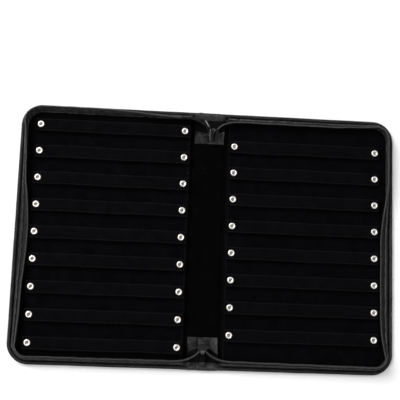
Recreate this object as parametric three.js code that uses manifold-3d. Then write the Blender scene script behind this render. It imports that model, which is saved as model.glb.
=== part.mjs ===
// An earring case that opens like a book and closes with a zip round three sides.
// Two stiff leather covers fold on a spine. Each cover holds a velvet panel with rows of
// velvet straps, and each strap is held at both ends by a press stud. The case lies open
// and flat. Millimetres, +Z up, the spine along Y, the origin under the middle of the spine.
import * as THREE from "three";
import { mergeVertices } from "three/addons/utils/BufferGeometryUtils.js";
import Module from "manifold-3d";

const wasm = await Module();
wasm.setup();

// Driving sizes of the case
const caseLength = 220; // along the spine
const coverWidth = 148.5; // fold line to fore edge
const spineWidth = 27; // fold line to fold line, which sets the closed thickness
const cornerRadius = 18;
const clearance = 0.3; // between pieces that meet

// Sheets that make up a cover and the spine
const skinThickness = 1.2;
const boardThickness = 1.6;
const liningThickness = 1.4;
const spineBoardThickness = 0.8;
const spineLiningThickness = 0.8;
const edgeRound = 0.4;
const roundSteps = 3; // faces of a round corner

// The rim: piping at the cover's edge, a leather wall, the zip tape and its coil
const pipingDiameter = 3;
const seamWidth = 1; // stitched seam between the piping and the wall
const wallThickness = 1.2;
const wallHeight = 7.2;
const tapeThickness = 0.6;
const seamLap = 2; // tape sewn inside the top of the wall
const coilDiameter = 2;
const tailReach = 12; // how far from the fold the zip leaves the wall for its slider
const tailSteps = 8; // lengths in a free run of the coil

// Lean of the rim in degrees, inwards positive, at nine landmarks from the spine's top end round
// to its bottom end: spine, top edge, corner, three on the fore edge, corner, bottom edge, spine
const leftLean = [6, -13, -12, -4, 40, 36, 14, 4, 8];
const rightLean = [17, 18, 2, -6, 36, 38, 20, 24, 12];
const cornerMark = 2; // landmark in the middle of the first corner
const middleMark = 4; // landmark in the middle of the fore edge
const cornerSpan = 0.8; // share of a landmark step that a corner takes up

// Straps and their press studs
const strapPitch = 23;
const strapWidth = 11.5;
const strapThickness = 2;
const strapEnd = 5.2; // strap past its stud at the spine
const strapTip = 4.6; // strap past its stud at the fore edge
const strapCorner = 2;
const strapEdge = 0.5;
const studFromFold = 8.1;
const capDiameter = 6.2;
const capHeight = 1.5;
const capDish = 0.7; // depth of the hollow in the cap
const socketDiameter = 5;
const socketDepth = 1.4;
const postDiameter = 2.6;
const studSides = 8;

// Zip sliders and their pulls
const sliderLength = 10.5;
const sliderWidth = 9;
const sliderRear = 6;
const sliderTip = 1.8;
const plateThickness = 1;
const throatHeight = 2.4; // between the two plates
const archHeight = 3;
const archLength = 4;
const archWidth = 1.8;
const archBar = 0.8;
const pullLength = 14;
const pullWidth = 4.6;
const pullThickness = 1.2;
const gussetDepth = 27; // end of the case to the foot of the inner gusset
const gussetThickness = 1;
const gussetSag = 4.4; // height of the gusset under the slider
const gussetPuff = 0.3; // how far its slopes stand out of straight
const noseHeight = 12.4; // of the slider over the floor

// Derived places
const halfLength = caseLength / 2;
const foldX = spineWidth / 2;
const foreX = foldX + coverWidth;
const foldZ = skinThickness; // the leather bends at its inner face
const midPlane = foldZ + spineWidth / 2; // where the two halves meet when closed
const boardTop = skinThickness + boardThickness;
const liningTop = boardTop + liningThickness;
const spineBoardTop = skinThickness + spineBoardThickness;
const spineTop = spineBoardTop + spineLiningThickness;
const wallInset = pipingDiameter + seamWidth + wallThickness / 2;
const rimFoot = skinThickness + clearance;
const rimHeight = midPlane - 2 * clearance - rimFoot;
const coilCentre = rimHeight - coilDiameter / 2;
const tapeTop = coilCentre - coilDiameter / 2 - clearance;
const tapeOffset = wallThickness / 2 + clearance + tapeThickness / 2;
const panelInset = wallInset + wallThickness / 2 + 2 * clearance + tapeThickness;
const foldSetback = spineTop - foldZ + 2 * clearance; // keeps a cover's stack off the folded spine
const strapBottom = liningTop + socketDepth + clearance;

const leather = new THREE.MeshStandardMaterial({ color: 0x1f1f20, roughness: 0.55 });
const pipingLeather = new THREE.MeshStandardMaterial({ color: 0x2b2b2d, roughness: 0.5 });
const velvet = new THREE.MeshStandardMaterial({ color: 0x08080a, roughness: 1 });
const boardPaper = new THREE.MeshStandardMaterial({ color: 0x8a8172, roughness: 0.9 });
const tapeCloth = new THREE.MeshStandardMaterial({ color: 0x151517, roughness: 0.9 });
const coilNylon = new THREE.MeshStandardMaterial({ color: 0x3a3a3c, roughness: 0.4 });
const sliderMetal = new THREE.MeshStandardMaterial({ color: 0x2c2c2a, roughness: 0.35, metalness: 0.8 });

function piece(group, name, geometry, material) {
  const mesh = new THREE.Mesh(geometry, material);
  mesh.name = name;
  group.add(mesh);
  return mesh;
}

// Boolean joins and cuts
function toSolid(geometry) {
  const bare = geometry.clone();
  bare.deleteAttribute("normal");
  bare.deleteAttribute("uv");
  const merged = mergeVertices(bare, 1e-4);
  const corners = merged.index.array;
  const kept = [];
  for (let i = 0; i < corners.length; i += 3) {
    const [a, b, c] = corners.slice(i, i + 3);
    if (a !== b && b !== c && c !== a) kept.push(a, b, c);
  }
  const vertProperties = merged.attributes.position.array;
  return new wasm.Manifold(new wasm.Mesh({ numProp: 3, vertProperties, triVerts: new Uint32Array(kept) }));
}

function toGeometry(solid) {
  const { vertProperties, triVerts } = solid.getMesh();
  const geometry = new THREE.BufferGeometry();
  geometry.setAttribute("position", new THREE.BufferAttribute(new Float32Array(vertProperties), 3));
  geometry.setIndex(new THREE.BufferAttribute(new Uint32Array(triVerts), 1));
  geometry.computeVertexNormals();
  return geometry;
}

function join(geometries) {
  return toGeometry(geometries.map(toSolid).reduce((whole, next) => whole.add(next)));
}

// A plate of a plan shape, from z upwards, with its edges taken off by round
function plate(shape, thickness, z, round = 0) {
  const bevel = { bevelEnabled: round > 0, bevelThickness: round, bevelSize: round, bevelOffset: -round };
  const options = { depth: thickness - 2 * round, bevelSegments: 1, ...bevel };
  return new THREE.ExtrudeGeometry(shape, options).translate(0, 0, z + round);
}

// A rectangle with its own radius at the low-x and the high-x corners
function rectangle(x0, x1, y0, y1, lowRadius = 0, highRadius = 0) {
  const corner = (x, y, radius, from) => {
    const steps = radius > 0 ? roundSteps : 0;
    return Array.from({ length: steps + 1 }, (_, i) => {
      const angle = (Math.PI / 2) * (from + i / roundSteps);
      return new THREE.Vector2(x + radius * Math.cos(angle), y + radius * Math.sin(angle));
    });
  };
  return new THREE.Shape([
    ...corner(x0 + lowRadius, y0 + lowRadius, lowRadius, 2),
    ...corner(x1 - highRadius, y0 + highRadius, highRadius, 3),
    ...corner(x1 - highRadius, y1 - highRadius, highRadius, 0),
    ...corner(x0 + lowRadius, y1 - lowRadius, lowRadius, 1),
  ]);
}

// Plan of one cover, drawn in from its three outer edges by inset
function coverPlan(side, innerX, inset) {
  const length = halfLength - inset;
  const radius = cornerRadius - inset;
  if (side > 0) return rectangle(innerX, foreX - inset, -length, length, 0, radius);
  return rectangle(-(foreX - inset), -innerX, -length, length, radius, 0);
}

// Triangles that fill a flat loop, turning the same way as the loop
function fill(loop) {
  const turns = THREE.ShapeUtils.area(loop) > 0;
  return THREE.ShapeUtils.triangulateShape(loop, []).map(([a, b, c]) => {
    return THREE.ShapeUtils.area([loop[a], loop[b], loop[c]]) > 0 === turns ? [a, b, c] : [a, c, b];
  });
}

// A closed solid through a row of sections. Each section is a flat loop of points and
// the place that a point of the loop has in space. Four-sided patches split along their
// shorter diagonal, so the two faces of a thin twisted sheet stay apart.
function loft(sections) {
  const count = sections[0].loop.length;
  const last = (sections.length - 1) * count;
  const points = sections.flatMap(({ loop, place }) => loop.map(place));
  const triangles = [];
  for (const [a, b, c] of fill(sections[0].loop)) triangles.push([a, c, b]);
  for (const [a, b, c] of fill(sections.at(-1).loop)) triangles.push([last + a, last + b, last + c]);
  for (let i = 0; i < last; i += count) {
    for (let j = 0; j < count; j++) {
      const a = i + j;
      const b = i + ((j + 1) % count);
      const c = a + count;
      const d = b + count;
      const acrossIsShort = points[b].distanceTo(points[c]) < points[a].distanceTo(points[d]);
      if (acrossIsShort) triangles.push([a, b, c], [b, d, c]);
      else triangles.push([a, b, d], [a, d, c]);
    }
  }
  const volume = triangles.reduce((sum, [a, b, c]) => {
    return sum + points[a].dot(points[b].clone().cross(points[c]));
  }, 0);
  const order = volume > 0 ? triangles : triangles.map(([a, b, c]) => [a, c, b]);
  const geometry = new THREE.BufferGeometry().setFromPoints(points);
  geometry.setIndex(order.flat());
  geometry.computeVertexNormals();
  return geometry;
}

function roundSection(radius, sides, centre = new THREE.Vector2()) {
  return Array.from({ length: sides }, (_, i) => {
    const angle = (2 * Math.PI * (i + 0.5)) / sides;
    return new THREE.Vector2(Math.cos(angle), Math.sin(angle)).multiplyScalar(radius).add(centre);
  });
}

// A round tube along a curve, with closed ends
function tube(curve, radius, steps, sides = 8) {
  const shape = new THREE.Shape(roundSection(radius, sides));
  return new THREE.ExtrudeGeometry(shape, { steps, extrudePath: curve, bevelEnabled: false });
}

// Lean at a landmark count q, eased from one landmark to the next
function leanAt(leans, q) {
  const i = Math.min(Math.floor(q), leans.length - 2);
  const t = q - i;
  const ease = t * t * (3 - 2 * t);
  return THREE.MathUtils.degToRad(leans[i] + (leans[i + 1] - leans[i]) * ease);
}

// A point of the rim's cross-section: s is the height along its bent middle line, offset is
// towards the inside. x is the inset from the cover's edge, y the height over the floor.
function rimPoint(s, offset, lean) {
  const bend = Math.abs(lean) < 1e-4 ? 1e-4 : lean;
  const angle = (2 * bend * s) / rimHeight;
  const radius = rimHeight / (2 * bend);
  const inset = wallInset + radius * (1 - Math.cos(angle)) + offset * Math.cos(angle);
  return new THREE.Vector2(inset, rimFoot + radius * Math.sin(angle) - offset * Math.sin(angle));
}

// Stations round the three open sides of a half, from innerX at the top edge to innerX at the
// bottom edge: the point on the cover's outline, the direction inwards and the lean there
function rimStations(side, innerX, leans) {
  const cornerX = foreX - cornerRadius;
  const cornerY = halfLength - cornerRadius;
  const straightSteps = 8;
  const cornerSteps = 5;
  const cornerStart = cornerMark - cornerSpan / 2;
  const cornerStop = cornerMark + cornerSpan / 2;
  const upper = [];
  for (let i = 0; i < straightSteps; i++) {
    const t = i / straightSteps;
    upper.push({ x: innerX + (cornerX - innerX) * t, y: halfLength, inX: 0, inY: -1, q: cornerStart * t });
  }
  for (let i = 0; i < cornerSteps; i++) {
    const t = i / cornerSteps;
    const c = Math.sin((t * Math.PI) / 2);
    const s = Math.cos((t * Math.PI) / 2);
    const x = cornerX + cornerRadius * c;
    const y = cornerY + cornerRadius * s;
    upper.push({ x, y, inX: -c, inY: -s, q: cornerStart + cornerSpan * t });
  }
  for (let i = 0; i < straightSteps / 2; i++) {
    const t = (2 * i) / straightSteps;
    const q = cornerStop + (middleMark - cornerStop) * t;
    upper.push({ x: foreX, y: cornerY * (1 - t), inX: -1, inY: 0, q });
  }
  const middle = { x: foreX, y: 0, inX: -1, inY: 0, q: middleMark };
  const lower = upper.map((p) => ({ ...p, y: -p.y, inY: -p.inY, q: 2 * middleMark - p.q })).reverse();
  return [...upper, middle, ...lower].map((p) => ({
    lean: leanAt(leans, p.q),
    place: (v) => new THREE.Vector3(side * (p.x + p.inX * v.x), p.y + p.inY * v.x, v.y),
  }));
}

// A strip of the rim through a row of heights along its middle line
function rimStrip(stations, heights, offset, thickness) {
  return loft(
    stations.map(({ lean, place }) => {
      const outer = heights.map((s) => rimPoint(s, offset - thickness / 2, lean));
      const inner = heights.map((s) => rimPoint(s, offset + thickness / 2, lean)).reverse();
      return { place, loop: [...outer, ...inner] };
    }),
  );
}

function rimBead(stations, radius, sides, centreAt) {
  return loft(
    stations.map(({ lean, place }) => {
      return { place, loop: roundSection(radius, sides, centreAt(lean)) };
    }),
  );
}

// Straps keep clear of the coil's furthest reach over the fore edge
const coilReach = (lean) => rimPoint(coilCentre, tapeOffset, lean).x + coilDiameter / 2;
const foreLean = THREE.MathUtils.degToRad(Math.max(...leftLean, ...rightLean));
const endLeans = [...leftLean.slice(0, cornerMark + 1), ...leftLean.slice(-cornerMark - 1)];
const endLean = THREE.MathUtils.degToRad(Math.max(...endLeans));
const outerStudX = foreX - coilReach(foreLean) - clearance - strapTip;
const innerStudX = foldX + studFromFold;
const strapRoom = 2 * (halfLength - coilReach(endLean) - clearance) - strapWidth;
const leftCount = Math.floor(strapRoom / strapPitch) + 1;
const rightCount = leftCount - 1; // these rows lie between the other half's when the case is shut

function rowY(row, count) {
  return ((count - 1) / 2 - row) * strapPitch;
}

// The stud on the panel: a post with a rounded head that the strap's socket presses over
function studPost() {
  const radius = postDiameter / 2;
  const height = socketDepth - clearance;
  const profile = [
    [0, -edgeRound],
    [radius * 0.8, -edgeRound],
    [radius * 0.8, height * 0.4],
    [radius, height * 0.7],
    [0, height],
  ].map(([r, z]) => new THREE.Vector2(r, z));
  return new THREE.LatheGeometry(profile, studSides).rotateX(Math.PI / 2);
}

// The strap's half of a press stud: socket below, a post through the strap, a dished cap on top
function studCap() {
  const cap = capDiameter / 2;
  const socket = socketDiameter / 2;
  const bore = postDiameter / 2 + clearance;
  const top = strapThickness + capHeight;
  const profile = [
    [0, edgeRound],
    [bore, edgeRound],
    [bore, -socketDepth],
    [socket, -socketDepth],
    [socket, strapThickness - edgeRound],
    [cap, strapThickness - edgeRound],
    [cap, strapThickness + capHeight * 0.4],
    [cap * 0.62, top],
    [0, top - capDish],
  ].map(([r, z]) => new THREE.Vector2(r, z));
  return new THREE.LatheGeometry(profile, studSides).rotateX(Math.PI / 2);
}

function strap(side) {
  const half = (outerStudX - innerStudX) / 2;
  const low = -half - (side > 0 ? strapEnd : strapTip);
  const high = half + (side > 0 ? strapTip : strapEnd);
  const plan = rectangle(low, high, -strapWidth / 2, strapWidth / 2, strapCorner, strapCorner);
  const caps = [-half, half].map((x) => studCap().translate(x, 0, 0));
  return join([plate(plan, strapThickness, 0, strapEdge), ...caps]);
}

function lining(side, count) {
  const panel = plate(coverPlan(side, foldX + foldSetback, panelInset), liningThickness, boardTop, edgeRound);
  const posts = [];
  for (let row = 0; row < count; row++) {
    for (const x of [innerStudX, outerStudX]) {
      posts.push(studPost().translate(side * x, rowY(row, count), liningTop));
    }
  }
  return join([panel, ...posts]);
}

// One half of the case: cover, board, rim with its zip half, velvet panel and straps
function half(side, name, leans, count) {
  const group = new THREE.Group();
  const edge = rimStations(side, foldX + clearance / 2, leans);
  const wall = rimStations(side, foldX + foldSetback, leans);
  const zip = rimStations(side, foldX + tailReach, leans);
  const pipingCentre = new THREE.Vector2(pipingDiameter / 2, skinThickness + clearance + pipingDiameter / 2);
  const coilMiddle = (lean) => rimPoint(coilCentre, tapeOffset, lean);

  const skinPlan = coverPlan(side, foldX + clearance / 2, 0);
  piece(group, `${name}_cover`, plate(skinPlan, skinThickness, 0, edgeRound), leather);
  const boardPlan = coverPlan(side, foldX + foldSetback, panelInset);
  piece(group, `${name}_board`, plate(boardPlan, boardThickness, skinThickness), boardPaper);
  piece(group, `${name}_piping`, rimBead(edge, pipingDiameter / 2, 6, () => pipingCentre), pipingLeather);
  const lapStart = wallHeight - seamLap;
  const wallRows = [0, lapStart / 2, lapStart, wallHeight];
  const tapeRows = [lapStart, wallHeight, tapeTop];
  piece(group, `${name}_wall`, rimStrip(wall, wallRows, 0, wallThickness), leather);
  piece(group, `${name}_zip_tape`, rimStrip(zip, tapeRows, tapeOffset, tapeThickness), tapeCloth);
  piece(group, `${name}_zip_coil`, rimBead(zip, coilDiameter / 2, 6, coilMiddle), coilNylon);
  piece(group, `${name}_lining`, lining(side, count), velvet);

  for (let row = 0; row < count; row++) {
    const one = piece(group, `${name}_strap_${row + 1}`, strap(side), velvet);
    one.position.set((side * (innerStudX + outerStudX)) / 2, rowY(row, count), strapBottom);
  }
  return group;
}

// A zip slider in its own frame: nose along +X, plates flat in XY, the arch below.
// Two plates stand on a wedge behind the nose, with lips that hold the coils in.
const shoulder = sliderLength * 0.12;
const plateTop = throatHeight / 2 + plateThickness;

function slider() {
  const nose = sliderLength / 2;
  const plan = new THREE.Shape(
    [
      [-nose, -sliderRear / 2],
      [shoulder, -sliderWidth / 2],
      [nose, -sliderTip / 2],
      [nose, sliderTip / 2],
      [shoulder, sliderWidth / 2],
      [-nose, sliderRear / 2],
    ].map(([x, y]) => new THREE.Vector2(x, y)),
  );
  const wedge = new THREE.Shape(
    [
      [shoulder, 0],
      [nose * 0.6, -sliderTip * 0.6],
      [nose * 0.92, 0],
      [nose * 0.6, sliderTip * 0.6],
    ].map(([x, y]) => new THREE.Vector2(x, y)),
  );
  const lipHeight = throatHeight * 0.25;
  const lipPlan = (sign) =>
    new THREE.Shape(
      [
        [-nose, (sign * sliderRear) / 2],
        [shoulder, (sign * sliderWidth) / 2],
        [shoulder, sign * (sliderWidth / 2 - plateThickness)],
        [-nose, sign * (sliderRear / 2 - plateThickness)],
      ].map(([x, y]) => new THREE.Vector2(x, y)),
    );
  const overlap = plateThickness / 4;
  const parts = [
    plate(plan, plateThickness, throatHeight / 2),
    plate(plan, plateThickness, -plateTop),
    plate(wedge, throatHeight + 2 * overlap, -throatHeight / 2 - overlap),
  ];
  for (const sign of [-1, 1]) {
    parts.push(plate(lipPlan(sign), lipHeight + overlap, throatHeight / 2 - lipHeight));
    parts.push(plate(lipPlan(sign), lipHeight + overlap, -throatHeight / 2 - overlap));
  }
  const arch = rectangle(-archLength / 2, archLength / 2, 0, archHeight + overlap);
  const window = archLength / 2 - archBar;
  arch.holes.push(rectangle(-window, window, archBar, archHeight + overlap / 2));
  const archSolid = new THREE.ExtrudeGeometry(arch, { depth: archWidth, bevelEnabled: false });
  archSolid.rotateX(Math.PI / 2).translate(0, archWidth / 2, -plateTop - archHeight);
  return join([...parts, archSolid]);
}

// The pull, hung by the bar at its eye, which is on its own origin. The tab runs along +X.
function pull() {
  const eye = archLength + pullThickness / 2;
  const tab = rectangle(-pullThickness / 2, pullLength, -pullWidth / 2, pullWidth / 2, 0, pullWidth * 0.3);
  const gap = archWidth / 2 + clearance;
  tab.holes.push(rectangle(pullThickness / 2, eye, -gap, gap));
  return plate(tab, pullThickness, -pullThickness / 2, 0);
}

// Eye of the pull in the slider's frame: the middle of the arch's window
const eyePoint = new THREE.Vector3(0, 0, -plateTop - (archHeight - archBar) / 2);

// Rest attitude of the slider at each end of the spine: where its nose is, and its turns in
// degrees. The nose points out of the case and up by tilt; yaw turns it aside and roll turns
// it about its own length.
const attitudes = {
  top: { end: 1, noseX: 4, noseFromEnd: 15.5, tilt: 20, yaw: -6, roll: 50, pullDip: 45 },
  bottom: { end: -1, noseX: 0, noseFromEnd: 14, tilt: 20, yaw: 0, roll: 0, pullDip: 24 },
};

// The slider's frame: +X along its length to the nose, +Z from the arch's plate to the bare one
function sliderFrame({ end, noseX, noseFromEnd, tilt, yaw, roll }) {
  const turn = THREE.MathUtils.degToRad;
  const level = Math.cos(turn(tilt));
  const aside = -Math.sin(turn(yaw)) * level;
  const outward = new THREE.Vector3(aside, end * Math.cos(turn(yaw)) * level, Math.sin(turn(tilt)));
  const across = new THREE.Vector3(0, 0, 1).cross(outward).normalize();
  const frame = new THREE.Group();
  const basis = new THREE.Matrix4().makeBasis(outward, across, outward.clone().cross(across));
  frame.setRotationFromMatrix(basis);
  frame.rotateX(turn(roll));
  frame.position.set(noseX, end * (halfLength - noseFromEnd), noseHeight);
  frame.position.addScaledVector(outward, -sliderLength / 2);
  frame.updateMatrix();
  return frame;
}

// The free run of a zip coil, from the end of the wall's coil to the slider's mouth on its side
function tailCurve(frame, end, side, leans) {
  const coil = rimPoint(coilCentre, tapeOffset, leanAt(leans, end > 0 ? 0 : leans.length - 1));
  const startX = side * (foldX + tailReach - clearance);
  const start = new THREE.Vector3(startX, end * (halfLength - coil.x), coil.y);
  const edgeMiddle = new THREE.Vector2(shoulder + sliderLength / 2, (sliderWidth + sliderTip) / 2);
  edgeMiddle.multiplyScalar(0.5);
  const edgeNormal = new THREE.Vector2(sliderWidth - sliderTip, sliderLength - 2 * shoulder).normalize();
  const mouth = edgeMiddle.addScaledVector(edgeNormal, clearance);
  const goal = new THREE.Vector3(mouth.x, -end * side * mouth.y, 0).applyMatrix4(frame.matrix);
  const bend = new THREE.Vector3(side * foldX * 0.75, start.y, (start.z + goal.z) / 2);
  return new THREE.QuadraticBezierCurve3(start, bend, goal);
}

function pointAtX(curve, x) {
  let low = 0;
  let high = 1;
  for (let i = 0; i < 24; i++) {
    const t = (low + high) / 2;
    if (Math.abs(curve.getPoint(t).x) > Math.abs(x)) low = t;
    else high = t;
  }
  return curve.getPoint(low);
}

// The leather gusset across one end of the spine, a tent under the two free coils that
// sags below the slider
function gusset(end, tails) {
  const footY = halfLength - gussetDepth;
  const backY = halfLength - pipingDiameter - 2 * clearance;
  const footZ = spineBoardTop + clearance;
  const widest = foldX - 2 * clearance;
  const shares = [-1, -0.72, -0.4, 0, 0.4, 0.72, 1];
  return loft(
    shares.map((share) => {
      const x = end * share * widest;
      const coil = pointAtX(x < 0 ? tails[0] : tails[1], x);
      const ridgeY = Math.abs(coil.y);
      const ridgeEdge = coil.z - coilDiameter / 2 - clearance;
      const ridgeZ = gussetSag + (ridgeEdge - gussetSag) * Math.abs(share) ** 3;
      const front = new THREE.Vector2(footY, footZ);
      const back = new THREE.Vector2(backY, footZ);
      const ridgeFront = new THREE.Vector2(ridgeY - gussetThickness / 2, ridgeZ);
      const ridgeBack = new THREE.Vector2(ridgeY + gussetThickness / 2, ridgeZ);
      const innerFront = new THREE.Vector2(footY + 1.5 * gussetThickness, footZ);
      const innerBack = new THREE.Vector2(backY - gussetThickness, footZ);
      const innerRidge = new THREE.Vector2(ridgeY, ridgeZ - 1.5 * gussetThickness);
      const slope = (a, b) => new THREE.Vector2((a.x + b.x) / 2, (a.y + b.y) / 2 + gussetPuff);
      const outer = [front, slope(front, ridgeFront), ridgeFront, ridgeBack, slope(ridgeBack, back), back];
      const innerSlopes = [slope(innerBack, innerRidge), slope(innerRidge, innerFront)];
      const inner = [innerBack, innerSlopes[0], innerRidge, innerSlopes[1], innerFront];
      const place = (v) => new THREE.Vector3(x, end * v.x, v.y);
      return { loop: [...outer, ...inner], place };
    }),
  );
}

// The closed end of the zip: it runs out of the back of the slider and down to the gusset's foot
function chainEnd(frame, end) {
  const inFrame = (x) => new THREE.Vector3(x, 0, 0).applyMatrix4(frame.matrix);
  const radius = throatHeight / 2 - clearance;
  const rear = inFrame(-sliderLength / 2 - radius);
  const footY = halfLength - gussetDepth + radius;
  const foot = new THREE.Vector3(rear.x, end * footY, spineTop + radius + clearance);
  const course = [inFrame(0), inFrame(-sliderLength / 4), rear, foot];
  return tube(new THREE.CatmullRomCurve3(course, false, "centripetal"), radius, tailSteps);
}

// Spine, with the gusset, free coils, slider and pull at each of its ends
function spine() {
  const group = new THREE.Group();
  const edge = foldX - clearance / 2;
  const inside = foldX - 3 * clearance;
  const boardLength = halfLength - pipingDiameter - 2 * clearance;
  const liningLength = halfLength - gussetDepth - clearance;
  const skinPlan = rectangle(-edge, edge, -halfLength, halfLength);
  const boardPlan = rectangle(-inside, inside, -boardLength, boardLength);
  const stripPlan = rectangle(-inside, inside, -liningLength, liningLength);
  piece(group, "spine_cover", plate(skinPlan, skinThickness, 0), leather);
  piece(group, "spine_board", plate(boardPlan, spineBoardThickness, skinThickness), boardPaper);
  piece(group, "spine_lining", plate(stripPlan, spineLiningThickness, spineBoardTop), velvet);

  for (const [name, attitude] of Object.entries(attitudes)) {
    const { end, pullDip } = attitude;
    const frame = sliderFrame(attitude);
    const tails = [tailCurve(frame, end, -1, leftLean), tailCurve(frame, end, 1, rightLean)];
    const pipingY = end * (halfLength - pipingDiameter / 2);
    const pipingZ = skinThickness + clearance + pipingDiameter / 2;
    const pipingX = foldX - pipingDiameter - 2 * clearance;
    const pipingLine = [-pipingX, pipingX].map((x) => new THREE.Vector3(x, pipingY, pipingZ));
    const endPiping = tube(new THREE.LineCurve3(...pipingLine), pipingDiameter / 2, 1);
    piece(group, `spine_piping_${name}`, endPiping, pipingLeather);
    piece(group, `gusset_${name}`, gusset(end, tails), leather);
    piece(group, `zip_tail_${name}_left`, tube(tails[0], coilDiameter / 2, tailSteps), coilNylon);
    piece(group, `zip_tail_${name}_right`, tube(tails[1], coilDiameter / 2, tailSteps), coilNylon);
    piece(group, `zip_end_${name}`, chainEnd(frame, end), coilNylon);
    piece(frame, `slider_${name}`, slider(), sliderMetal);
    const tab = piece(frame, `pull_${name}`, pull(), sliderMetal);
    tab.position.copy(eyePoint);
    tab.rotation.y = THREE.MathUtils.degToRad(pullDip);
    group.add(frame);
  }
  return group;
}

const earringCase = new THREE.Group();
earringCase.add(half(-1, "left", leftLean, leftCount));
earringCase.add(spine());
earringCase.add(half(1, "right", rightLean, rightCount));

export default earringCase;
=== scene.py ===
import math
from collections import namedtuple

import bmesh
import bpy
from mathutils import Matrix, Vector, noise


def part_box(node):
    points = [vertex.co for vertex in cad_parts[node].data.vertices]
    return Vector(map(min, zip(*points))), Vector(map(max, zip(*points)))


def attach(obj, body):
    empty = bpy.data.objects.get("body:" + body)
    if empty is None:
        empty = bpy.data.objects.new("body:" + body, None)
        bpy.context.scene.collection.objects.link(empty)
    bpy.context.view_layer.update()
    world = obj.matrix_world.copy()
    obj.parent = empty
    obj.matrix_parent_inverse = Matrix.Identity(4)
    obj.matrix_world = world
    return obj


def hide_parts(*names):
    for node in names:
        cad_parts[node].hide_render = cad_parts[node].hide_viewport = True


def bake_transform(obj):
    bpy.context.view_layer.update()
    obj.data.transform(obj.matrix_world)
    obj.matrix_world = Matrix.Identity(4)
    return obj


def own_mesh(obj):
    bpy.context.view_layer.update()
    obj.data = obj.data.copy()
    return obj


# Stage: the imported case, a plain pale floor, broad soft light from the upper left, and a
# camera nearly straight above, at the photograph's angle. Lights and floor are in metres; all
# other sizes are in millimetres up to the point where a mesh is made.
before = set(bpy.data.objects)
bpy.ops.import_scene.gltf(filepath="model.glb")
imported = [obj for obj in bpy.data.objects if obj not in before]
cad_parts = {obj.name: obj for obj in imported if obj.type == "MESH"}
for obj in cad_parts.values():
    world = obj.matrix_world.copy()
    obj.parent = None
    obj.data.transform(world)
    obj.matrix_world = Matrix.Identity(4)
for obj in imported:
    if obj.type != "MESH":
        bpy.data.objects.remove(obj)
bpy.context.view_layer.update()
mm = 0.001
scene = bpy.context.scene
scene.view_settings.view_transform = "Standard"


def put(thing):
    scene.collection.objects.link(thing)
    return thing


camera_lens = bpy.data.cameras.new("camera")
camera_lens.sensor_width = 36
camera_lens.lens = 72
camera = put(bpy.data.objects.new("camera", camera_lens))
camera.location = Vector((-47.87, -64.26, 683.07)) * mm
camera.rotation_euler = [math.radians(turn) for turn in (8.025, -3.792, 2.061)]
scene.camera = camera


def soft_light(name, place, size, power):
    lamp = bpy.data.lights.new(name, "AREA")
    lamp.shape = "DISK"
    lamp.size = size
    lamp.energy = power
    light = put(bpy.data.objects.new(name, lamp))
    light.location = place
    light.rotation_euler = (-light.location).to_track_quat("-Z", "Y").to_euler()


soft_light("key_light", (-1.05, 1.0, 1.45), size=1.2, power=41)
soft_light("left_light", (-1.1, -0.2, 1.8), size=1.0, power=13)
soft_light("right_light", (0.9, 0.6, 1.9), size=1.0, power=5)
soft_light("front_light", (0.4, -0.7, 2.0), size=1.4, power=13)

studio = bpy.data.worlds.new("studio")
studio.use_nodes = True
studio_light = studio.node_tree.nodes["Background"].inputs
studio_light["Color"].default_value = (1, 1, 1, 1)
studio_light["Strength"].default_value = 0.13
scene.world = studio


def new_finish(name, values):
    """A material whose constant values stand on the shader's own sockets"""
    finish = bpy.data.materials.new(name)
    finish.use_nodes = True
    tree = finish.node_tree
    shader = tree.nodes["Principled BSDF"]
    for socket, value in values.items():
        shader.inputs[socket].default_value = value
    return finish, tree, shader


def node(tree, kind, inputs=None, **settings):
    """One node of a tree; inputs holds values, or the sockets to link, by socket"""
    made = tree.nodes.new(kind)
    for key, value in settings.items():
        setattr(made, key, value)
    for key, value in (inputs or {}).items():
        if isinstance(value, bpy.types.NodeSocket):
            tree.links.new(value, made.inputs[key])
        else:
            made.inputs[key].default_value = value
    return made


floor_mesh = bpy.data.meshes.new("floor")
floor_reach = 14
floor_drop = -5e-5
floor_ways = ((-1, -1), (1, -1), (1, 1), (-1, 1))
floor_corners = [(x * floor_reach, y * floor_reach, floor_drop) for x, y in floor_ways]
floor_mesh.from_pydata(floor_corners, [], [(0, 1, 2, 3)])
floor_finish, _, _ = new_finish("pale_floor", {"Base Color": (0.87, 0.87, 0.87, 1), "Roughness": 0.9})
floor_mesh.materials.append(floor_finish)
floor = put(bpy.data.objects.new("floor", floor_mesh))

# Outer leather: one skin of smooth black leather round both covers and the spine, with the
# bead of the edge showing through it and a soft channel pressed in along each fold. It is
# made as two halves that meet in the middle of the spine.
half_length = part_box("right_cover")[1].y / mm
fore_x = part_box("right_cover")[1].x / mm
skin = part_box("right_cover")[1].z / mm
corner = 18
corner_x = fore_x - corner
corner_y = half_length - corner
fold_x = 13.5
channel_depth = 0.45
channel_width = 1.6
sides = ((-1, "left"), (1, "right"))


def object_place(tree):
    return node(tree, "ShaderNodeTexCoord").outputs["Object"]


def surface_map(tree):
    return node(tree, "ShaderNodeUVMap", uv_map="surface").outputs["UV"]


def worked(tree, operation, *values):
    """What a Math node makes of numbers or sockets"""
    return node(tree, "ShaderNodeMath", dict(enumerate(values)), operation=operation).outputs["Value"]


def speckle(tree, place, size, detail=2.0):
    """Soft noise with blotches of about size millimetres"""
    inputs = {"Vector": place, "Scale": 1 / (size * mm), "Detail": detail}
    return node(tree, "ShaderNodeTexNoise", inputs).outputs["Fac"]


def tones(tree, factor, low, high):
    """A colour that runs from low to high, each a grey or a colour"""
    mixed = node(tree, "ShaderNodeMix", data_type="RGBA")
    tree.links.new(factor, mixed.inputs[0])
    for socket, shade in ((6, low), (7, high)):
        grey = (shade, shade, shade) if isinstance(shade, float) else shade
        mixed.inputs[socket].default_value = (*grey, 1)
    return mixed.outputs[2]


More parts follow.
